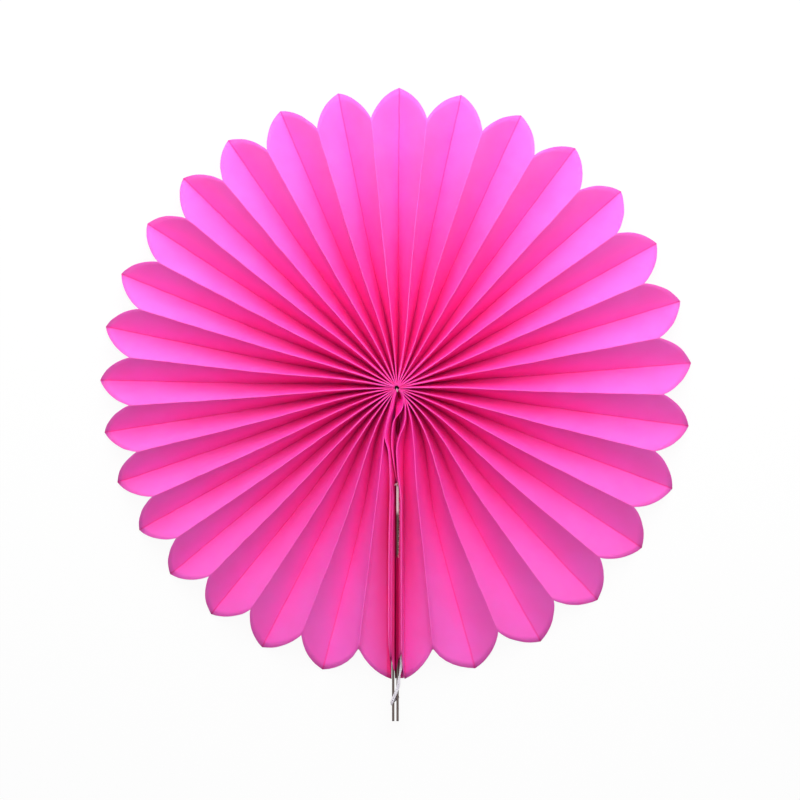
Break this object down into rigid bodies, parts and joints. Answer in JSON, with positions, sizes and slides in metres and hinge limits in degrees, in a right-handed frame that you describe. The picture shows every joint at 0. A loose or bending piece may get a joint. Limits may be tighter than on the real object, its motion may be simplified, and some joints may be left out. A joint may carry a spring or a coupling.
{
  "type": "paper fan rosette",
  "caption": "Pleated paper fan opened to a full circle, with a scalloped rim and two board sticks that stand out as a handle.",
  "frame": {"origin": "centre of the hub, on the plane that the fan's back folds lie in", "axes": "+Z along the fan's own axis, out of its front; the handle points along -Y; +X to the right as seen from the front"},
  "size_m": [0.2996, 0.32, 0.0192],
  "materials": {
    "pink_paper": "uncoated dyed paper, matt",
    "grey_board": "raw grey board, cut edges",
    "cotton_string": "soft twisted cotton",
    "hub_thread": "plain sewing thread"
  },
  "bodies": {
    "root": {"pleated_paper": "pink_paper", "left_stick": "grey_board", "right_stick": "grey_board", "tie_string": "cotton_string", "hub_thread": "hub_thread"}
  },
  "joints": []
}
